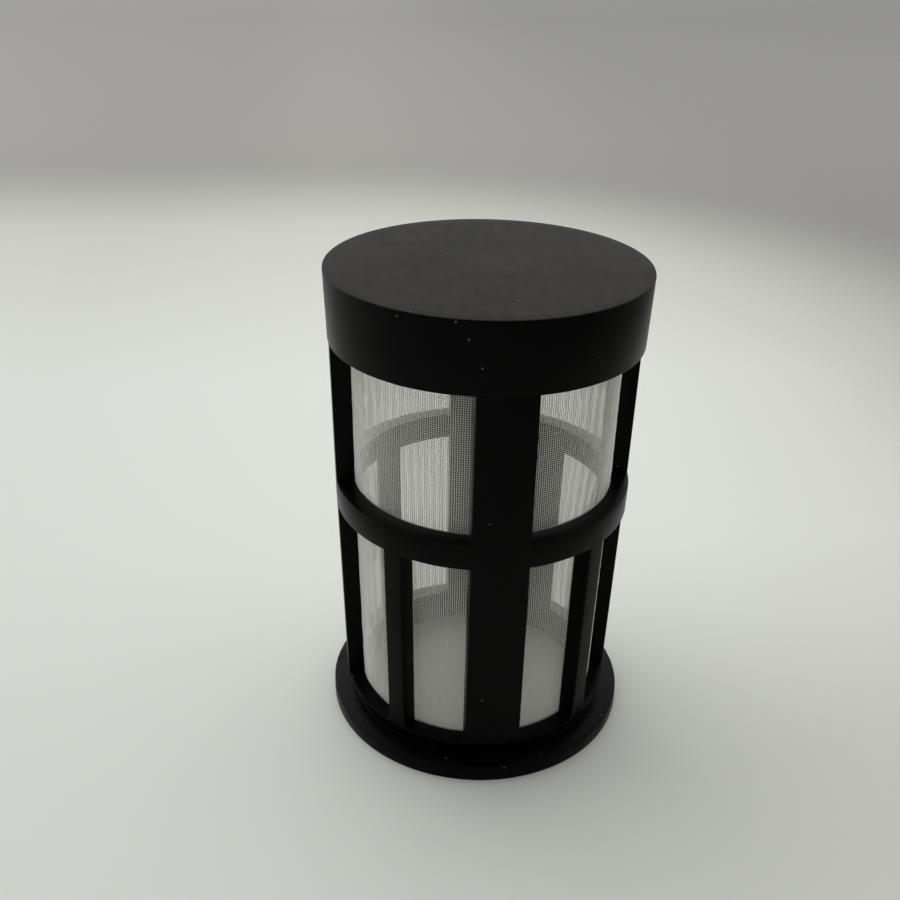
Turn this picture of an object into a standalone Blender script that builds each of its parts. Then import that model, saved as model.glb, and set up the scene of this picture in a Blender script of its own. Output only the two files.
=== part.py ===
"""Flanged cage strainer: a moulded cage around a woven sleeve, closed at the top by a cap.

The strainer stands on its flange. Its axis is Z, the underside of the flange is at Z = 0,
and the widest rib of the cage, which hides the seam of the cloth, faces -Y.
All sizes below are in millimetres, and the meshes are built in metres.
"""
import math

import bmesh
import bpy
from mathutils import Matrix

MM = 0.001

# Heights from the underside of the flange
FLANGE_HEIGHT = 2.4
LOWER_RING_TOP = 5.15
LOWER_WINDOW_HEIGHT = 30.75
MID_RING_HEIGHT = 3.95
UPPER_WINDOW_HEIGHT = 21.55
CAP_HEIGHT = 10.0

# Woven sleeve, whose outer radius grows upwards with the draft of the mould's core
SLEEVE_BOTTOM_RADIUS = 18.2
SLEEVE_LOWER_DRAFT = 0.65
SLEEVE_UPPER_DRAFT = 0.2
SLEEVE_WALL = 0.42
RIDGE_HEIGHT = 0.14
RIDGE_WIDTH = 0.8

# Gaps of the weave, with an upright post and a level bar left between neighbours
GAP_COLUMNS = 24
GAP_POST = 0.9
GAP_BAR = 1.1
UPPER_GAP_ROWS = 2
LOWER_GAP_ROWS = 3

# Cage wall outside the sleeve, at the lower ring, the middle ring and the cap
LOWER_WALL = 2.3
MID_WALL = 2.5
TOP_WALL = 2.65
SEAT_CLEARANCE = 0.3

# Ribs
SEAM_RIB_WIDTH = 8.0
RIB_WIDTH = 5.5
NARROW_RIB_TOP_WIDTH = 3.0
NARROW_RIB_BOTTOM_WIDTH = 2.5
NARROW_RIB_ANGLE = 41.3
RIB_DRAFT = 0.08

# Lower ring, neck and flange
LEDGE_WIDTH = 0.18
LEDGE_HEIGHT = 3.1
LIP_THICKNESS = 0.4
UNDERCUT_SHARE = 0.4
NECK_WALL = 2.3
RING_CHAMFER = 0.22
FLANGE_OVERHANG = 2.2
FLANGE_ROUND = 0.4
MOUTH_CHAMFER = 0.3

# Spigot of the cage and the cap that sits over it
SPIGOT_WALL = 1.35
SPIGOT_HEIGHT = 6.3
CAP_OVERHANG = 0.15
CAP_DRAFT = 0.35
CAP_ROUND = 0.25
CAP_CLEARANCE = 0.3

BLOCK_MARGIN = 0.4
RING_SEGMENTS = 96
SLEEVE_SEGMENTS = 48
ROUND_STEPS = 3
SHARP_ANGLE = 30

# Heights and radii that follow from the sizes above
MID_RING_BOTTOM = LOWER_RING_TOP + LOWER_WINDOW_HEIGHT
MID_RING_MIDDLE = MID_RING_BOTTOM + MID_RING_HEIGHT / 2
MID_RING_TOP = MID_RING_BOTTOM + MID_RING_HEIGHT
CAP_BOTTOM = MID_RING_TOP + UPPER_WINDOW_HEIGHT
CAP_TOP = CAP_BOTTOM + CAP_HEIGHT
SHOULDER = CAP_BOTTOM - CAP_CLEARANCE
SPIGOT_TOP = SHOULDER + SPIGOT_HEIGHT
SOCKET_TOP = SPIGOT_TOP + CAP_CLEARANCE
SLEEVE_BOTTOM = LEDGE_HEIGHT + SEAT_CLEARANCE
SLEEVE_TOP = SPIGOT_TOP

# Low edge and height of each row of windows, with the number of rows of gaps in the sleeve behind it
WINDOWS = (
    (LOWER_RING_TOP, LOWER_WINDOW_HEIGHT, LOWER_GAP_ROWS),
    (MID_RING_TOP, UPPER_WINDOW_HEIGHT, UPPER_GAP_ROWS),
)


def sleeve_radius(height):
    """Outer radius of the sleeve's ridges at a height: two straight drafts that meet in the middle ring."""
    middle = SLEEVE_BOTTOM_RADIUS + SLEEVE_LOWER_DRAFT
    if height < MID_RING_MIDDLE:
        share = (height - LOWER_RING_TOP) / (MID_RING_MIDDLE - LOWER_RING_TOP)
        return SLEEVE_BOTTOM_RADIUS + SLEEVE_LOWER_DRAFT * share
    share = (height - MID_RING_MIDDLE) / (CAP_BOTTOM - MID_RING_MIDDLE)
    return middle + SLEEVE_UPPER_DRAFT * share


def seat_radius(height):
    """Inner radius of the cage, clear of the sleeve."""
    return sleeve_radius(height) + SEAT_CLEARANCE


LIP_RADIUS = seat_radius(LOWER_RING_TOP) + LOWER_WALL
MID_RING_RADIUS = seat_radius(MID_RING_MIDDLE) + MID_WALL
CAGE_TOP_RADIUS = seat_radius(SHOULDER) + TOP_WALL
BORE_RADIUS = sleeve_radius(SLEEVE_BOTTOM) - SLEEVE_WALL - LEDGE_WIDTH
NECK_RADIUS = BORE_RADIUS + NECK_WALL
FLANGE_RADIUS = LIP_RADIUS + FLANGE_OVERHANG
SPIGOT_RADIUS = seat_radius(SHOULDER) + SPIGOT_WALL
SOCKET_RADIUS = SPIGOT_RADIUS + CAP_CLEARANCE
CAP_BOTTOM_RADIUS = CAGE_TOP_RADIUS + CAP_OVERHANG
CAP_TOP_RADIUS = CAP_BOTTOM_RADIUS + CAP_DRAFT


def clear_scene():
    for item in list(bpy.data.objects):
        bpy.data.objects.remove(item)


def new_collection(name):
    collection = bpy.data.collections.new(name)
    bpy.context.scene.collection.children.link(collection)
    return collection


def make_material(name, color, roughness, metallic=0.0):
    material = bpy.data.materials.new(name)
    material.use_nodes = True
    shader = material.node_tree.nodes["Principled BSDF"]
    shader.inputs["Base Color"].default_value = (*color, 1.0)
    shader.inputs["Roughness"].default_value = roughness
    shader.inputs["Metallic"].default_value = metallic
    return material


def add_mesh_object(name, bm, collection, material=None):
    mesh = bpy.data.meshes.new(name)
    bm.to_mesh(mesh)
    bm.free()
    item = bpy.data.objects.new(name, mesh)
    collection.objects.link(item)
    if material:
        mesh.materials.append(material)
    return item


def as_cutter(item):
    item.hide_render = True
    item.display_type = "WIRE"
    return item


def corner_arc(centre, radius, start, end):
    """Points of a rounded corner in the (radius, height) plane, with angles in degrees."""
    points = []
    for step in range(ROUND_STEPS + 1):
        angle = math.radians(start + (end - start) * step / ROUND_STEPS)
        points.append((centre[0] + radius * math.cos(angle), centre[1] + radius * math.sin(angle)))
    return points


def turned(name, outline, segments, collection, material=None, closed=True):
    """Revolves an outline of (radius, height) points, given down its outer side and back inside.

    An outline that starts and ends on the axis is left open there.
    """
    bm = bmesh.new()
    points = [bm.verts.new((radius * MM, 0.0, height * MM)) for radius, height in outline]
    for first, second in zip(points, points[1:]):
        bm.edges.new((first, second))
    if closed:
        bm.edges.new((points[-1], points[0]))
    item = add_mesh_object(name, bm, collection, material)
    screw = item.modifiers.new("Turn", "SCREW")
    screw.axis = "Z"
    screw.angle = math.radians(360)
    screw.steps = segments
    screw.render_steps = segments
    screw.use_merge_vertices = True
    screw.merge_threshold = 0.00001
    return item


def boolean(item, operation, other):
    modifier = item.modifiers.new(f"{operation.title()} {other.name}", "BOOLEAN")
    modifier.operation = operation
    modifier.solver = "EXACT"
    modifier.object = other
    return modifier


def settle(item):
    """Turns the modelled shape into the piece's own mesh, smooth except at its real edges."""
    evaluated = item.evaluated_get(bpy.context.evaluated_depsgraph_get())
    mesh = bpy.data.meshes.new_from_object(evaluated)
    mesh.name = item.name
    item.modifiers.clear()
    item.data = mesh
    mesh.shade_smooth()
    mesh.set_sharp_from_angle(angle=math.radians(SHARP_ANGLE))
    return item


def window_band(name, low, high, edge_radius, collection):
    """A disc that clears one row of windows. Its slanted skirt runs past the outer edge of the ring below
    and leaves a small chamfer there.
    """
    outer = FLANGE_RADIUS + BLOCK_MARGIN
    skirt = low - 2 * RING_CHAMFER
    outline = [
        (0.0, high),
        (outer, high),
        (outer, skirt),
        (edge_radius + RING_CHAMFER, skirt),
        (edge_radius - RING_CHAMFER, low),
        (0.0, low),
    ]
    return as_cutter(turned(name, outline, RING_SEGMENTS, collection, closed=False))


def rib_block(name, angle, low, high, side_offset, collection):
    """A block along one rib, from inside the sleeve to outside the cage.

    The angle is measured from -Y towards +X. side_offset gives the distance of each side face
    from the rib's centre plane, for a side (-1 or +1), a radius and a height.
    """
    inner = BORE_RADIUS - BLOCK_MARGIN
    outer = CAGE_TOP_RADIUS + BLOCK_MARGIN
    bm = bmesh.new()
    bmesh.ops.create_cube(bm, size=2.0)
    for vert in bm.verts:
        side = math.copysign(1.0, vert.co.y)
        radius = outer if vert.co.x > 0 else inner
        height = high if vert.co.z > 0 else low
        vert.co = (radius * MM, side * side_offset(side, radius, height) * MM, height * MM)
    turn = Matrix.Rotation(math.radians(angle - 90), 3, "Z")
    bmesh.ops.rotate(bm, verts=bm.verts, cent=(0, 0, 0), matrix=turn)
    return as_cutter(add_mesh_object(name, bm, collection))


def drafted_sides(width):
    """Sides nearly parallel to the rib's centre plane, a little further apart towards the sleeve."""

    def offset(side, radius, height):
        return width / 2 + RIB_DRAFT * (MID_RING_RADIUS - radius) / MID_WALL

    return offset


def narrow_sides(far_side):
    """One side square to the sleeve, the far one along the way its mould half opens, both drafted."""

    def offset(side, radius, height):
        share = (height - LOWER_RING_TOP) / LOWER_WINDOW_HEIGHT
        width = NARROW_RIB_BOTTOM_WIDTH + (NARROW_RIB_TOP_WIDTH - NARROW_RIB_BOTTOM_WIDTH) * share
        if side != far_side:
            return width / 2
        face = LIP_RADIUS + (MID_RING_RADIUS - LIP_RADIUS) * share
        return width / 2 + (face - radius) * math.tan(math.radians(NARROW_RIB_ANGLE))

    return offset


def wide_ribs(low, high, tag, collection):
    """The seam rib in front and three plainer ribs a quarter turn apart."""
    widths = {0: SEAM_RIB_WIDTH, 90: RIB_WIDTH, 180: RIB_WIDTH, 270: RIB_WIDTH}
    return [
        rib_block(f"{tag}_rib_{angle}", angle, low, high, drafted_sides(width), collection)
        for angle, width in widths.items()
    ]


def narrow_ribs(low, high, collection):
    """Four narrow ribs, placed evenly about the seam rib and about the rib behind it."""
    ribs = []
    for base, turn in ((0, 1), (0, -1), (180, 1), (180, -1)):
        angle = base + turn * NARROW_RIB_ANGLE
        ribs.append(rib_block(f"narrow_rib_{base}_{turn}", angle, low, high, narrow_sides(turn), collection))
    return ribs


def cage_outline():
    """Outer side from the spigot down to the flange, then the inner side up from the mouth."""
    lip_low = LOWER_RING_TOP - LIP_THICKNESS
    neck_top = lip_low - (lip_low - FLANGE_HEIGHT) * UNDERCUT_SHARE
    outline = [
        (SPIGOT_RADIUS, SPIGOT_TOP),
        (SPIGOT_RADIUS, SHOULDER),
        (CAGE_TOP_RADIUS, SHOULDER),
        (MID_RING_RADIUS, MID_RING_MIDDLE),
        (LIP_RADIUS, LOWER_RING_TOP),
        (LIP_RADIUS, lip_low),
        (NECK_RADIUS, neck_top),
        (NECK_RADIUS, FLANGE_HEIGHT),
    ]
    outline += corner_arc((FLANGE_RADIUS - FLANGE_ROUND, FLANGE_HEIGHT - FLANGE_ROUND), FLANGE_ROUND, 90, 0)
    outline += [
        (FLANGE_RADIUS, 0.0),
        (BORE_RADIUS + MOUTH_CHAMFER, 0.0),
        (BORE_RADIUS, MOUTH_CHAMFER),
        (BORE_RADIUS, LEDGE_HEIGHT),
        (seat_radius(LEDGE_HEIGHT), LEDGE_HEIGHT),
        (seat_radius(MID_RING_MIDDLE), MID_RING_MIDDLE),
        (seat_radius(SPIGOT_TOP), SPIGOT_TOP),
    ]
    return outline


def build_cage(parts, cutters):
    black = make_material("black moulding", (0.012, 0.012, 0.012), 0.45)
    cage = turned("cage", cage_outline(), RING_SEGMENTS, parts, black)

    upper = window_band("upper_windows", MID_RING_TOP, CAP_BOTTOM, MID_RING_RADIUS, cutters)
    for rib in wide_ribs(MID_RING_BOTTOM, CAP_TOP, "upper", cutters):
        boolean(upper, "DIFFERENCE", rib)

    lower = window_band("lower_windows", LOWER_RING_TOP, MID_RING_BOTTOM, LIP_RADIUS, cutters)
    ribs = wide_ribs(0.0, MID_RING_TOP, "lower", cutters) + narrow_ribs(0.0, MID_RING_TOP, cutters)
    for rib in ribs:
        boolean(lower, "DIFFERENCE", rib)

    boolean(cage, "DIFFERENCE", upper)
    boolean(cage, "DIFFERENCE", lower)
    return settle(cage)


def gap_rows():
    """The low edge and the height of each row of gaps, from the lowest row up."""
    rows = []
    for low, height, count in WINDOWS:
        step = (height - GAP_BAR) / count
        rows += [(low + GAP_BAR + row * step, step - GAP_BAR) for row in range(count)]
    return rows


def ridge_levels():
    """Heights of the weft ridges from the top down: one above and one below each row of gaps."""
    levels = [SLEEVE_TOP - RIDGE_WIDTH]
    for low, height, count in WINDOWS:
        step = (height - GAP_BAR) / count
        levels += [low + GAP_BAR / 2 + row * step for row in range(count + 1)]
    return sorted(levels, reverse=True)


def sleeve_outline():
    """The outer side with its raised weft ridges, and the plain inner side."""

    def wall(height):
        return sleeve_radius(height) - RIDGE_HEIGHT

    outline = [(wall(SLEEVE_TOP), SLEEVE_TOP)]
    for level in ridge_levels():
        high = level + RIDGE_WIDTH / 2
        low = level - RIDGE_WIDTH / 2
        outline += [(wall(high), high), (sleeve_radius(level), level), (wall(low), low)]
    outline.append((wall(SLEEVE_BOTTOM), SLEEVE_BOTTOM))
    for height in (SLEEVE_BOTTOM, MID_RING_MIDDLE, SLEEVE_TOP):
        outline.append((sleeve_radius(height) - SLEEVE_WALL, height))
    return outline


def gap_cutters(collection):
    """All gaps of the weave, as one mesh of blocks that cross the sleeve's wall."""
    depth = 2 * (SLEEVE_WALL + BLOCK_MARGIN)
    bm = bmesh.new()
    for low, gap in gap_rows():
        radius = sleeve_radius(low + gap / 2)
        width = 2 * math.pi * (radius - SLEEVE_WALL) / GAP_COLUMNS - GAP_POST
        for column in range(GAP_COLUMNS):
            block = bmesh.ops.create_cube(bm, size=1.0)["verts"]
            bmesh.ops.scale(bm, verts=block, vec=(depth * MM, width * MM, gap * MM))
            bmesh.ops.translate(bm, verts=block, vec=(radius * MM, 0.0, (low + gap / 2) * MM))
            turn = Matrix.Rotation(math.radians(360 / GAP_COLUMNS * column), 3, "Z")
            bmesh.ops.rotate(bm, verts=block, cent=(0, 0, 0), matrix=turn)
    return as_cutter(add_mesh_object("sleeve_gaps", bm, collection))


def build_sleeve(parts, cutters):
    nylon = make_material("nylon cloth", (0.72, 0.72, 0.68), 0.5)
    sleeve = turned("mesh_sleeve", sleeve_outline(), SLEEVE_SEGMENTS, parts, nylon)
    boolean(sleeve, "DIFFERENCE", gap_cutters(cutters))
    return settle(sleeve)


def build_cap(parts):
    black = make_material("black cap", (0.02, 0.019, 0.018), 0.5)
    outline = [(0.0, CAP_TOP)]
    outline += corner_arc((CAP_TOP_RADIUS - CAP_ROUND, CAP_TOP - CAP_ROUND), CAP_ROUND, 90, 0)
    outline += [
        (CAP_BOTTOM_RADIUS, CAP_BOTTOM),
        (SOCKET_RADIUS, CAP_BOTTOM),
        (SOCKET_RADIUS, SOCKET_TOP),
        (0.0, SOCKET_TOP),
    ]
    return settle(turned("end_cap", outline, RING_SEGMENTS, parts, black, closed=False))


def main():
    clear_scene()
    parts = new_collection("strainer")
    cutters = new_collection("strainer cutters")
    build_cage(parts, cutters)
    build_sleeve(parts, cutters)
    build_cap(parts)


main()
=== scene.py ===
import math

import bpy
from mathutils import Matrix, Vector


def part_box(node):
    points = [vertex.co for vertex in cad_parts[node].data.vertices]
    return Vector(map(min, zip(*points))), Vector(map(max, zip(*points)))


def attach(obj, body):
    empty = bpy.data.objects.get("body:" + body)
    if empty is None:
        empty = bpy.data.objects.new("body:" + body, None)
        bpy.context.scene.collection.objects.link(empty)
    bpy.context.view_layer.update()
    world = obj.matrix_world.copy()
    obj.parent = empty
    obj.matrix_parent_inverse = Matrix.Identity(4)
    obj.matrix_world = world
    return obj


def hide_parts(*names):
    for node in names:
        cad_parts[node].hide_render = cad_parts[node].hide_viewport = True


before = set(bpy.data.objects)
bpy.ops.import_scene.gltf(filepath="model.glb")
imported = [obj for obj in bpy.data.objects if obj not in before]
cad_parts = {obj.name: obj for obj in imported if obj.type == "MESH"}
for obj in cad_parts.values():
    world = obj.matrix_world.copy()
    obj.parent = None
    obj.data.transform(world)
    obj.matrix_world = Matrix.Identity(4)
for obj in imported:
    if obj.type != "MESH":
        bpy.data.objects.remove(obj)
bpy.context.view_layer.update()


# View
# The strainer stands on a pale table and is seen from above, a little to the left of its widest rib.
# The lens is close, so the cage narrows towards the flange.
MM = 0.001
CAMERA_PLACE = (-19.64 * MM, -138.0 * MM, 114.7 * MM)
CAMERA_TURN = (62.678, -0.930, -5.66)
CAMERA_LENS = 42.42

bpy.ops.object.select_all(action="DESELECT")
bpy.ops.object.camera_add(location=CAMERA_PLACE, rotation=[math.radians(turn) for turn in CAMERA_TURN])
camera = bpy.context.object
camera.name = "view_camera"
camera.data.lens = CAMERA_LENS
camera.data.clip_start = 5 * MM
bpy.context.scene.camera = camera
bpy.context.scene.view_settings.view_transform = "Standard"


# Woven sleeve, its course
# The cloth is a tube that widens in two slight drafts, because it was moulded in over a tapered core.
# The cage, the warp and the weft all follow this course. All sizes are in millimetres.
CLOTH_LOW_RADIUS = 18.36
CLOTH_MIDDLE_RADIUS = 19.02
CLOTH_TOP_RADIUS = 19.19

LOWER_RING_TOP = 5.15
MIDDLE_RING_LOW = 35.9
MIDDLE_RING_TOP = 39.85
MIDDLE_RING_CENTRE = (MIDDLE_RING_LOW + MIDDLE_RING_TOP) / 2
CAP_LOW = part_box("end_cap")[0].z / MM
CLOTH_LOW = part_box("mesh_sleeve")[0].z / MM
CLOTH_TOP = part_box("mesh_sleeve")[1].z / MM


def cloth_radius(height):
    if height < MIDDLE_RING_CENTRE:
        share = (height - LOWER_RING_TOP) / (MIDDLE_RING_CENTRE - LOWER_RING_TOP)
        return CLOTH_LOW_RADIUS + (CLOTH_MIDDLE_RADIUS - CLOTH_LOW_RADIUS) * share
    share = (height - MIDDLE_RING_CENTRE) / (CAP_LOW - MIDDLE_RING_CENTRE)
    return CLOTH_MIDDLE_RADIUS + (CLOTH_TOP_RADIUS - CLOTH_MIDDLE_RADIUS) * share


# Cage
# One black moulding carries the cloth: the flange, the grooved neck, three rings and eight ribs. Its wall is
# turned in one go, the windows are cut between the ribs, and every edge of the mould is slightly rounded.
CAGE_SIDES = 188
FLANGE_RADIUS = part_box("cage")[1].x / MM - 0.02
FLANGE_HEIGHT = 2.4
FLANGE_ROUND = 0.25
BORE_RADIUS = 17.6
MOUTH_CHAMFER = 0.3
LEDGE_HEIGHT = 3.1
NECK_RADIUS = 19.86
LIP_RADIUS = 20.8
LIP_TOP = 4.75
NECK_TOP = 3.8
MIDDLE_RING_RADIUS = 21.65
CAGE_TOP_RADIUS = 22.0
SHOULDER = CAP_LOW
SPIGOT_RADIUS = 20.7
SPIGOT_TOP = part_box("cage")[1].z / MM
SKIN = 0.25
EDGE_ROUND = 0.12
SEAM_RIB_WIDTH = 8.0
RIB_WIDTH = 5.5
NARROW_RIB_ANGLE = 41.3
NARROW_RIB_HALF_ANGLE = 3.75
NARROW_RIB_FLARE = 37.0
RIB_BLOCK_INNER = BORE_RADIUS - 0.8
RIB_BLOCK_OUTER = CAGE_TOP_RADIUS + 0.4
WINDOW_CLEARANCE = 0.15
TIDY_DISTANCE = 0.12


def select_verts(piece, wanted):
    """Selects the vertices of a piece in edit mode for which wanted(place) is true."""
    bpy.ops.mesh.select_all(action="DESELECT")
    bpy.ops.object.mode_set(mode="OBJECT")
    for vert in piece.data.vertices:
        vert.select = wanted(vert.co)
    bpy.ops.object.mode_set(mode="EDIT")


def start_edit(piece):
    bpy.ops.object.select_all(action="DESELECT")
    piece.select_set(True)
    bpy.context.view_layer.objects.active = piece
    bpy.ops.object.mode_set(mode="EDIT")
    bpy.ops.mesh.select_mode(type="VERT")


def corner(radius, height, size, start, end, steps=4):
    """Points of a rounded corner about a centre, with angles in degrees."""
    points = []
    for step in range(steps + 1):
        angle = math.radians(start + (end - start) * step / steps)
        points.append((radius + size * math.cos(angle), height + size * math.sin(angle)))
    return points


def turn_wall(name, outline, sides, closed=True):
    """Draws a turned wall: a circle is drawn out from one point of the outline to the next."""
    bpy.ops.object.select_all(action="DESELECT")
    radius, height = outline[0]
    bpy.ops.mesh.primitive_circle_add(vertices=sides, radius=radius * MM, location=(0, 0, height * MM))
    piece = bpy.context.object
    piece.name = name
    bpy.ops.object.transform_apply(location=True)
    start_edit(piece)
    bpy.ops.mesh.select_all(action="SELECT")
    if not closed:
        bpy.ops.mesh.edge_face_add()
        bpy.ops.mesh.select_all(action="SELECT")
    stops = outline[1:] + outline[:1] if closed else outline[1:]
    for next_radius, next_height in stops:
        bpy.ops.mesh.extrude_region_move(TRANSFORM_OT_translate={"value": (0, 0, (next_height - height) * MM)})
        grow = next_radius / radius
        bpy.ops.transform.resize(value=(grow, grow, 1), center_override=(0, 0, next_height * MM))
        radius, height = next_radius, next_height
    bpy.ops.mesh.select_all(action="SELECT")
    bpy.ops.mesh.remove_doubles(threshold=0.001 * MM)
    bpy.ops.mesh.normals_make_consistent(inside=False)
    bpy.ops.object.mode_set(mode="OBJECT")
    return piece


def apply_modifier(piece, kind, **settings):
    bpy.context.view_layer.objects.active = piece
    modifier = piece.modifiers.new(kind.title(), kind)
    for setting, value in settings.items():
        setattr(modifier, setting, value)
    bpy.ops.object.modifier_apply(modifier=modifier.name)


def cut(piece, tool):
    """Takes a tool's shape out of a piece and puts the tool away."""
    apply_modifier(piece, "BOOLEAN", object=tool, operation="DIFFERENCE", solver="EXACT")
    bpy.data.objects.remove(tool)


def wall_face(height):
    """Radius of the outer side of the wall and its ribs, below the middle ring."""
    share = (height - LIP_TOP) / (MIDDLE_RING_CENTRE - LIP_TOP)
    return LIP_RADIUS + (MIDDLE_RING_RADIUS - LIP_RADIUS) * share


def rib_block(angle, low, high, top_width, low_width, far_side=0):
    """A block that keeps one rib from the cut. The far side of a narrow rib, +1 or -1, lies along Y."""
    depth = RIB_BLOCK_OUTER - RIB_BLOCK_INNER
    centre = ((RIB_BLOCK_OUTER + RIB_BLOCK_INNER) / 2 * MM, 0, (low + high) / 2 * MM)
    bpy.ops.object.select_all(action="DESELECT")
    bpy.ops.mesh.primitive_cube_add(size=1, location=centre)
    block = bpy.context.object
    block.dimensions = (depth * MM, top_width * MM, (high - low) * MM)
    bpy.ops.object.transform_apply(location=True, scale=True)
    start_edit(block)
    select_verts(block, lambda place: place.z < centre[2])
    bpy.ops.transform.resize(value=(1, low_width / top_width, 1), center_override=centre)
    bpy.ops.object.mode_set(mode="OBJECT")
    for vert in block.data.vertices:
        if vert.co.y * far_side > 0:
            reach = wall_face(vert.co.z / MM) * MM - vert.co.x
            vert.co.y += far_side * reach * math.tan(math.radians(NARROW_RIB_FLARE))
    block.rotation_euler.z = math.radians(angle - 90)
    bpy.ops.object.transform_apply(rotation=True)
    return block


def window_band(low, high):
    """A thick ring that takes one row of windows out of the whole wall."""
    inner = BORE_RADIUS - 2
    outer = FLANGE_RADIUS + 1
    return turn_wall("window_band", [(inner, high), (outer, high), (outer, low), (inner, low)], CAGE_SIDES)


cage_outline = [
    (cloth_radius(SPIGOT_TOP) - SKIN, SPIGOT_TOP),
    (SPIGOT_RADIUS, SPIGOT_TOP),
    (SPIGOT_RADIUS, SHOULDER),
    (CAGE_TOP_RADIUS, SHOULDER),
    (MIDDLE_RING_RADIUS, MIDDLE_RING_CENTRE),
    (LIP_RADIUS, LIP_TOP),
    (NECK_RADIUS, NECK_TOP),
    (NECK_RADIUS, FLANGE_HEIGHT),
]
cage_outline += corner(FLANGE_RADIUS - FLANGE_ROUND, FLANGE_HEIGHT - FLANGE_ROUND, FLANGE_ROUND, 90, 0)
cage_outline += [
    (FLANGE_RADIUS, 0),
    (BORE_RADIUS + MOUTH_CHAMFER, 0),
    (BORE_RADIUS, MOUTH_CHAMFER),
    (BORE_RADIUS, LEDGE_HEIGHT),
    (cloth_radius(LEDGE_HEIGHT) - SKIN, LEDGE_HEIGHT),
    (cloth_radius(MIDDLE_RING_CENTRE) - SKIN, MIDDLE_RING_CENTRE),
]
cage = turn_wall("cage_moulding", cage_outline, CAGE_SIDES)

upper_band = window_band(MIDDLE_RING_TOP, CAP_LOW + WINDOW_CLEARANCE)
lower_band = window_band(LOWER_RING_TOP, MIDDLE_RING_LOW)
for turn in (0, 90, 180, 270):
    width = SEAM_RIB_WIDTH if turn == 0 else RIB_WIDTH
    cut(upper_band, rib_block(turn, MIDDLE_RING_LOW, SPIGOT_TOP, width, width))
    cut(lower_band, rib_block(turn, 0, MIDDLE_RING_TOP, width, width))
top_width = 2 * wall_face(MIDDLE_RING_TOP) * math.sin(math.radians(NARROW_RIB_HALF_ANGLE))
low_width = 2 * wall_face(0) * math.sin(math.radians(NARROW_RIB_HALF_ANGLE))
for base in (0, 180):
    for side in (1, -1):
        turn = base + side * NARROW_RIB_ANGLE
        cut(lower_band, rib_block(turn, 0, MIDDLE_RING_TOP, top_width, low_width, side))
cut(cage, upper_band)
cut(cage, lower_band)
start_edit(cage)
bpy.ops.mesh.select_all(action="SELECT")
bpy.ops.mesh.remove_doubles(threshold=TIDY_DISTANCE * MM)
bpy.ops.object.mode_set(mode="OBJECT")
apply_modifier(
    cage, "BEVEL", limit_method="ANGLE", angle_limit=math.radians(28), width=EDGE_ROUND * MM, segments=3,
    use_clamp_overlap=False,
)
bpy.ops.object.select_all(action="DESELECT")
cage.select_set(True)
bpy.ops.object.shade_smooth_by_angle(angle=math.radians(30))


def add_node(tree, kind, inputs=None, **settings):
    """Adds a shader node, with its settings and the values of its inputs, and links any socket given."""
    node = tree.nodes.new(kind)
    for setting, value in settings.items():
        setattr(node, setting, value)
    for socket, value in (inputs or {}).items():
        if isinstance(value, bpy.types.NodeSocket):
            tree.links.new(value, node.inputs[socket])
        else:
            node.inputs[socket].default_value = value
    return node


def new_finish(name):
    """A material with its shader and a node that gives the piece's own coordinates in metres."""
    material = bpy.data.materials.new(name)
    material.use_nodes = True
    tree = material.node_tree
    shader = tree.nodes["Principled BSDF"]
    place = tree.nodes.new("ShaderNodeTexCoord").outputs["Object"]
    return material, tree, shader, place


CAGE_BLACK = (0.0008, 0.0008, 0.0008, 1)
CAGE_WORN = (0.002, 0.002, 0.0019, 1)
DUST_GREY = (0.13, 0.125, 0.11, 1)


def moulded_black(name, deep, worn, grain_scale, grain_height):
    """Black plastic: a slightly uneven gloss, fine grain, flow marks and a few dust specks."""
    material, tree, shader, place = new_finish(name)
    clouds = add_node(tree, "ShaderNodeTexNoise", {"Vector": place, "Scale": 120, "Detail": 4})
    grain = add_node(tree, "ShaderNodeTexNoise", {"Vector": place, "Scale": grain_scale, "Detail": 3})
    tone = add_node(tree, "ShaderNodeMix", {0: clouds.outputs["Fac"], 6: deep, 7: worn}, data_type="RGBA")
    cells = add_node(tree, "ShaderNodeTexVoronoi", {"Vector": place, "Scale": 600})
    speck = add_node(
        tree, "ShaderNodeMapRange", {0: cells.outputs["Distance"], 1: 0.1, 2: 0.06, 3: 0.0, 4: 1.0}
    )
    chance = add_node(tree, "ShaderNodeSeparateColor", {0: cells.outputs["Color"]})
    rare = add_node(tree, "ShaderNodeMath", {0: chance.outputs[0], 1: 0.9}, operation="GREATER_THAN")
    speck = add_node(tree, "ShaderNodeMath", {0: speck.outputs[0], 1: rare.outputs[0]}, operation="MULTIPLY")
    dusty = add_node(
        tree, "ShaderNodeMix", {0: speck.outputs[0], 6: tone.outputs[2], 7: DUST_GREY}, data_type="RGBA"
    )
    tree.links.new(dusty.outputs[2], shader.inputs["Base Color"])
    gloss = add_node(
        tree, "ShaderNodeMapRange", {0: clouds.outputs["Fac"], 1: 0.3, 2: 0.7, 3: 0.29, 4: 0.37}
    )
    tree.links.new(gloss.outputs[0], shader.inputs["Roughness"])
    bump = add_node(
        tree, "ShaderNodeBump", {"Height": grain.outputs["Fac"], "Distance": grain_height, "Strength": 0.6}
    )
    tree.links.new(bump.outputs[0], shader.inputs["Normal"])
    return material, tree, shader, dusty, gloss.outputs[0], clouds.outputs["Fac"], speck.outputs[0]


cage_black, tree, shader, tone, gloss, clouds, speck = moulded_black("cage_black", CAGE_BLACK, CAGE_WORN, 2600, 0.00001)
shader.inputs["IOR"].default_value = 1.14
cage.data.materials.append(cage_black)
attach(cage, "root")
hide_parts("cage")


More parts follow.
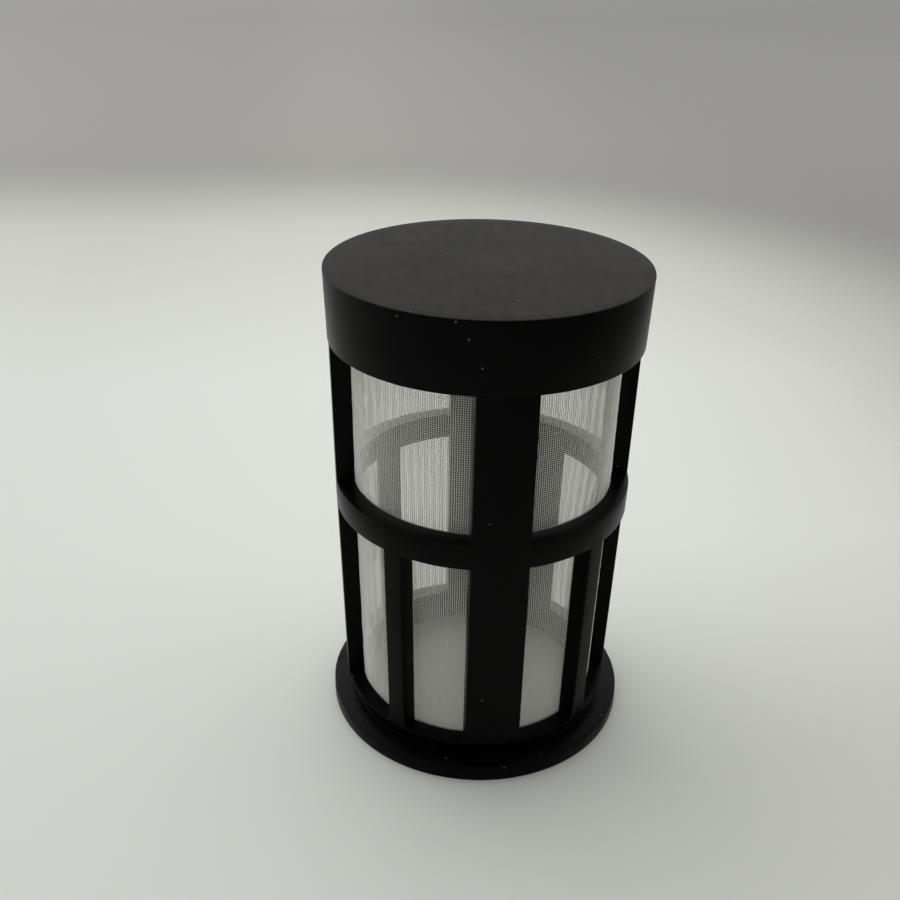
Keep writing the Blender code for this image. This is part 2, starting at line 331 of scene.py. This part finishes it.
# Closing cap
# A thick moulded disc closes the top. Its side leans out a little towards the flat top, and a socket
# in its underside sits over the cage's upper ring. The top has a dull, dusty surface.
CAP_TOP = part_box("end_cap")[1].z / MM
CAP_TOP_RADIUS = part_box("end_cap")[1].x / MM
CAP_LOW_RADIUS = CAP_TOP_RADIUS - 0.35
CAP_ROUND = 0.22
SOCKET_RADIUS = 21.0
SOCKET_TOP = 67.7

cap_outline = [(CAP_TOP_RADIUS - 2, CAP_TOP)]
cap_outline += corner(CAP_TOP_RADIUS - CAP_ROUND, CAP_TOP - CAP_ROUND, CAP_ROUND, 90, 0)
cap_outline += corner(CAP_LOW_RADIUS - CAP_ROUND / 2, CAP_LOW + CAP_ROUND / 2, CAP_ROUND / 2, 0, -90)
cap_outline += [
    (SOCKET_RADIUS, CAP_LOW),
    (SOCKET_RADIUS, SOCKET_TOP),
    (SOCKET_RADIUS - 2, SOCKET_TOP),
]
cap = turn_wall("closing_cap", cap_outline, CAGE_SIDES, closed=False)
start_edit(cap)
select_verts(
    cap, lambda place: abs(place.z / MM - SOCKET_TOP) < 0.001 and place.xy.length / MM < SOCKET_RADIUS - 1
)
bpy.ops.mesh.edge_face_add()
bpy.ops.mesh.select_all(action="SELECT")
bpy.ops.mesh.normals_make_consistent(inside=False)
bpy.ops.object.mode_set(mode="OBJECT")
bpy.ops.object.shade_smooth_by_angle(angle=math.radians(30))

CAP_BLACK = (0.0008, 0.0008, 0.0008, 1)
CAP_WORN = (0.002, 0.002, 0.0019, 1)
CAP_TOP_GREY = (0.0175, 0.0166, 0.0145, 1)
CAP_TOP_PALE = (0.029, 0.0275, 0.024, 1)
CAP_TOP_ROUGHNESS = 0.62
cap_black, tree, shader, tone, gloss, clouds, speck = moulded_black("cap_black", CAP_BLACK, CAP_WORN, 1800, 0.000012)
facing = add_node(tree, "ShaderNodeNewGeometry")
upward = add_node(tree, "ShaderNodeSeparateXYZ", {0: facing.outputs["Normal"]})
level = add_node(tree, "ShaderNodeMapRange", {0: upward.outputs[2], 1: 0.6, 2: 0.98, 3: 0.0, 4: 1.0})
place = add_node(tree, "ShaderNodeTexCoord").outputs["Object"]
brushed = add_node(tree, "ShaderNodeMapping", {0: place, 2: (0, 0, 0.6), 3: (1.0, 0.35, 1.0)})
scuffs = add_node(tree, "ShaderNodeTexNoise", {"Vector": brushed.outputs[0], "Scale": 700, "Detail": 5})
mottle = add_node(tree, "ShaderNodeMix", {0: 0.5, 2: clouds, 3: scuffs.outputs["Fac"]})
mottle = add_node(tree, "ShaderNodeMapRange", {0: mottle.outputs[0], 1: 0.36, 2: 0.64, 3: 0.0, 4: 1.0})
topping = add_node(
    tree, "ShaderNodeMix", {0: mottle.outputs[0], 6: CAP_TOP_GREY, 7: CAP_TOP_PALE}, data_type="RGBA"
)
topping = add_node(tree, "ShaderNodeMix", {0: speck, 6: topping.outputs[2], 7: DUST_GREY}, data_type="RGBA")
topped = add_node(
    tree, "ShaderNodeMix", {0: level.outputs[0], 6: tone.outputs[2], 7: topping.outputs[2]}, data_type="RGBA"
)
tree.links.new(topped.outputs[2], shader.inputs["Base Color"])
dull = add_node(tree, "ShaderNodeMix", {0: level.outputs[0], 2: gloss, 3: CAP_TOP_ROUGHNESS})
tree.links.new(dull.outputs[0], shader.inputs["Roughness"])
shader.inputs["IOR"].default_value = 1.135
cap.data.materials.append(cap_black)
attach(cap, "root")
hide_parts("end_cap")


# Warp of the sleeve
# The sleeve is white nylon cloth of fine single threads. The warp threads run from the flange to the cap,
# side by side all round, and follow the two drafts of the wall.
WARP_COUNT = 378
WARP_LENGTHS = 22
THREAD_PITCH = 0.3175
THREAD_RADIUS = 0.046
THREAD_SIDES = 4
UNEVEN_SIZE = 0.9
UNEVEN_REACH = 0.15

bpy.ops.object.select_all(action="DESELECT")
bpy.ops.mesh.primitive_circle_add(
    vertices=THREAD_SIDES, radius=THREAD_RADIUS * MM, location=(cloth_radius(CLOTH_LOW) * MM, 0, CLOTH_LOW * MM)
)
warp = bpy.context.object
warp.name = "warp_threads"
bpy.ops.object.transform_apply(location=True)
start_edit(warp)
bpy.ops.mesh.select_all(action="SELECT")
for start, stop in ((CLOTH_LOW, MIDDLE_RING_CENTRE), (MIDDLE_RING_CENTRE, CLOTH_TOP)):
    rise = (stop - start) / WARP_LENGTHS
    lean = (cloth_radius(stop) - cloth_radius(start)) / WARP_LENGTHS
    for length in range(WARP_LENGTHS):
        bpy.ops.mesh.extrude_region_move(TRANSFORM_OT_translate={"value": (lean * MM, 0, rise * MM)})
bpy.ops.mesh.select_all(action="SELECT")
bpy.ops.mesh.spin(
    steps=WARP_COUNT - 1, dupli=True, angle=math.tau * (WARP_COUNT - 1) / WARP_COUNT, center=(0, 0, 0),
    axis=(0, 0, 1),
)
bpy.ops.object.mode_set(mode="OBJECT")


uneven = bpy.data.textures.new("uneven_lie", "CLOUDS")
uneven.noise_scale = UNEVEN_SIZE * MM
uneven.noise_depth = 2
uneven.cloud_type = "COLOR"
apply_modifier(
    warp, "DISPLACE", texture=uneven, direction="RGB_TO_XYZ", texture_coords="LOCAL", mid_level=0.5,
    strength=UNEVEN_REACH * MM,
)
bpy.ops.object.shade_smooth()

NYLON_DEEP = (0.78, 0.785, 0.71, 1)
NYLON_PALE = (0.88, 0.885, 0.81, 1)
NYLON_GLOW = 0.85
NYLON_DEPTH = 0.06
nylon, tree, shader, place = new_finish("nylon_thread")
clouds = add_node(tree, "ShaderNodeTexNoise", {"Vector": place, "Scale": 900, "Detail": 2})
tone = add_node(
    tree, "ShaderNodeMix", {0: clouds.outputs["Fac"], 6: NYLON_DEEP, 7: NYLON_PALE}, data_type="RGBA"
)
tree.links.new(tone.outputs[2], shader.inputs["Base Color"])
shader.inputs["Roughness"].default_value = 0.4
shader.inputs["Subsurface Weight"].default_value = NYLON_GLOW
shader.inputs["Subsurface Radius"].default_value = (1.0, 1.0, 1.0)
shader.inputs["Subsurface Scale"].default_value = NYLON_DEPTH * MM
warp.data.materials.append(nylon)
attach(warp, "root")
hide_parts("mesh_sleeve")


# Weft of the sleeve
# The weft threads lie across the warp as closed rings, a pitch apart, each as wide as the wall at its height.
WEFT_COUNT = int((CLOTH_TOP - CLOTH_LOW) / THREAD_PITCH)
WEFT_SEGMENTS = 94

bpy.ops.object.select_all(action="DESELECT")
bpy.ops.mesh.primitive_torus_add(
    major_segments=WEFT_SEGMENTS, minor_segments=THREAD_SIDES, major_radius=CLOTH_LOW_RADIUS * MM,
    minor_radius=THREAD_RADIUS * MM, location=(0, 0, (CLOTH_LOW + THREAD_PITCH / 2) * MM),
)
weft = bpy.context.object
weft.name = "weft_threads"
bpy.ops.object.transform_apply(location=True)
apply_modifier(
    weft, "ARRAY", count=WEFT_COUNT, use_relative_offset=False, use_constant_offset=True,
    constant_offset_displace=(0, 0, THREAD_PITCH * MM),
)
for vert in weft.data.vertices:
    grow = cloth_radius(vert.co.z / MM) / CLOTH_LOW_RADIUS
    vert.co.x *= grow
    vert.co.y *= grow
apply_modifier(
    weft, "DISPLACE", texture=uneven, direction="RGB_TO_XYZ", texture_coords="LOCAL", mid_level=0.5,
    strength=UNEVEN_REACH * MM,
)
bpy.ops.object.shade_smooth()
weft.data.materials.append(nylon)
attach(weft, "root")
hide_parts("mesh_sleeve")


# Table
# The strainer stands on one wide pale sheet. Its colour carries painted shade: it is darkened in front of the strainer,
# on its left, away from the light behind it and on its right, and far behind it turns to a painted grey where a shaded
# backdrop would stand.
TABLE_SIZE = 8.0
TABLE_WHITE = (0.82, 0.845, 0.785, 1)
# Painted shadow: the factor that darkens the sheet in front of the strainer.
FRONT_PAINTED_SHADOW = (0.945, 0.945, 0.945, 1)
# Painted shade: the sheet's darker tone behind the strainer and on its right.
BACK_PAINTED_SHADE = (0.685, 0.695, 0.64, 1)
# Painted shade far behind the strainer, where a shaded backdrop would stand, and deeper on its right.
FAR_PAINTED_SHADE = (0.34, 0.333, 0.305, 1)
FAR_RIGHT_PAINTED_SHADE = (0.272, 0.267, 0.246, 1)
SHADE_CORNER = (-0.03, 0.125, 0.0)
# Painted shade factors for the sheet's left side and for its far distance.
LEFT_PAINTED_SHADE = 0.925
HORIZON_PAINTED_SHADE = 0.8

bpy.ops.object.select_all(action="DESELECT")
bpy.ops.mesh.primitive_plane_add(size=TABLE_SIZE)
table = bpy.context.object
table.name = "table_top"

# The sheet's material paints shade into its colour; only its white is the sheet's own colour.
painted_shade_sheet, tree, shader, place = new_finish("painted_shade_sheet")
spread = add_node(tree, "ShaderNodeSeparateXYZ", {0: place})
beyond = add_node(tree, "ShaderNodeVectorMath", {0: place, 1: SHADE_CORNER}, operation="SUBTRACT")
beyond = add_node(tree, "ShaderNodeVectorMath", {0: beyond.outputs[0], 1: (0, 0, 0)}, operation="MAXIMUM")
beyond = add_node(tree, "ShaderNodeVectorMath", {0: beyond.outputs[0]}, operation="LENGTH")
# Painted shade of the far sheet, deeper to the right.
right = add_node(tree, "ShaderNodeMapRange", {0: spread.outputs[0], 1: 0.0, 2: 0.2, 3: 0.0, 4: 1.0})
far = add_node(tree, "ShaderNodeMix", {0: right.outputs[0], 6: FAR_PAINTED_SHADE, 7: FAR_RIGHT_PAINTED_SHADE}, data_type="RGBA")
# Painted shade: the sheet fades to a darker tone on the right, starting nearer the middle in front than behind, and
# towards the back.
front_aside = add_node(tree, "ShaderNodeMapRange", {0: spread.outputs[0], 1: -0.03, 2: 0.09, 3: 0.0, 4: 1.0})
back_aside = add_node(tree, "ShaderNodeMapRange", {0: spread.outputs[0], 1: 0.05, 2: 0.13, 3: 0.0, 4: 1.0})
backward = add_node(tree, "ShaderNodeMapRange", {0: spread.outputs[1], 1: -0.02, 2: 0.04, 3: 0.0, 4: 1.0})
aside = add_node(
    tree, "ShaderNodeMix", {0: backward.outputs[0], 2: front_aside.outputs[0], 3: back_aside.outputs[0]}
)
behind = add_node(tree, "ShaderNodeMapRange", {0: spread.outputs[1], 1: 0.125, 2: 0.245, 3: 0.0, 4: 1.0})
fall = add_node(tree, "ShaderNodeMath", {0: aside.outputs[0], 1: behind.outputs[0]}, operation="ADD", use_clamp=True)
near = add_node(tree, "ShaderNodeMix", {0: fall.outputs[0], 6: TABLE_WHITE, 7: BACK_PAINTED_SHADE}, data_type="RGBA")
# Past the shade corner, the far painted shade takes over smoothly.
shade = add_node(tree, "ShaderNodeMapRange", {0: beyond.outputs["Value"], 1: 0.12, 2: 0.27, 3: 0.0, 4: 1.0})
shade.interpolation_type = "SMOOTHSTEP"
tone = add_node(
    tree, "ShaderNodeMix", {0: shade.outputs[0], 6: near.outputs[2], 7: far.outputs[2]}, data_type="RGBA"
)
# Painted shadow: towards the front the sheet's colour is multiplied darker, as if the dark room before the strainer
# shades it.
front = add_node(tree, "ShaderNodeMapRange", {0: spread.outputs[1], 1: 0.04, 2: -0.04, 3: 0.0, 4: 1.0})
tone = add_node(
    tree, "ShaderNodeMix", {0: front.outputs[0], 6: tone.outputs[2], 7: FRONT_PAINTED_SHADOW}, data_type="RGBA",
    blend_type="MULTIPLY",
)
# Painted shade: the sheet's colour is scaled darker to the left and far away.
left = add_node(tree, "ShaderNodeMapRange", {0: spread.outputs[0], 1: -0.03, 2: -0.1, 3: 1.0, 4: LEFT_PAINTED_SHADE})
horizon = add_node(tree, "ShaderNodeMapRange", {0: spread.outputs[1], 1: 0.45, 2: 1.1, 3: 1.0, 4: HORIZON_PAINTED_SHADE})
toned = add_node(tree, "ShaderNodeMath", {0: left.outputs[0], 1: horizon.outputs[0]}, operation="MULTIPLY")
tone = add_node(tree, "ShaderNodeVectorMath", {0: tone.outputs[2], 3: toned.outputs[0]}, operation="SCALE")
tree.links.new(tone.outputs[0], shader.inputs["Base Color"])
shader.inputs["Roughness"].default_value = 0.6
shader.inputs["Specular IOR Level"].default_value = 0.2
table.data.materials.append(painted_shade_sheet)


# Light
# Soft daylight falls from behind the strainer and from its left, and the side of the room in front of it
# is dark, so the shadow lies before it on the table and the black plastic shines only along its sides.
WINDOW_PLACE = (-1.36, 1.20, 1.34)
WINDOW_SIZE = 2.5
WINDOW_POWER = 14.0
ROOM_LIGHT = 0.74
ROOM_SLOPE = (0.0, 0.75, 0.0)
ROOM_GREY = 0.36

bpy.ops.object.select_all(action="DESELECT")
bpy.ops.object.light_add(type="AREA", location=WINDOW_PLACE)
window = bpy.context.object
window.name = "window_light"
window.data.shape = "SQUARE"
window.data.size = WINDOW_SIZE
window.data.energy = WINDOW_POWER
window.rotation_euler = window.location.to_track_quat("Z", "Y").to_euler()

room = bpy.data.worlds.new("room")
bpy.context.scene.world = room
room.use_nodes = True
toward = add_node(room.node_tree, "ShaderNodeTexCoord")
slope = add_node(
    room.node_tree, "ShaderNodeVectorMath", {0: toward.outputs["Generated"], 1: ROOM_SLOPE}, operation="DOT_PRODUCT"
)
bright = add_node(room.node_tree, "ShaderNodeMath", {0: slope.outputs["Value"], 1: ROOM_LIGHT}, operation="ADD")
seen = add_node(room.node_tree, "ShaderNodeLightPath")
shown = add_node(
    room.node_tree, "ShaderNodeMix", {0: seen.outputs["Is Camera Ray"], 2: bright.outputs[0], 3: ROOM_GREY}
)
room.node_tree.links.new(shown.outputs[0], room.node_tree.nodes["Background"].inputs["Strength"])
room.node_tree.nodes["Background"].inputs["Color"].default_value = (1.0, 1.0, 1.0, 1)
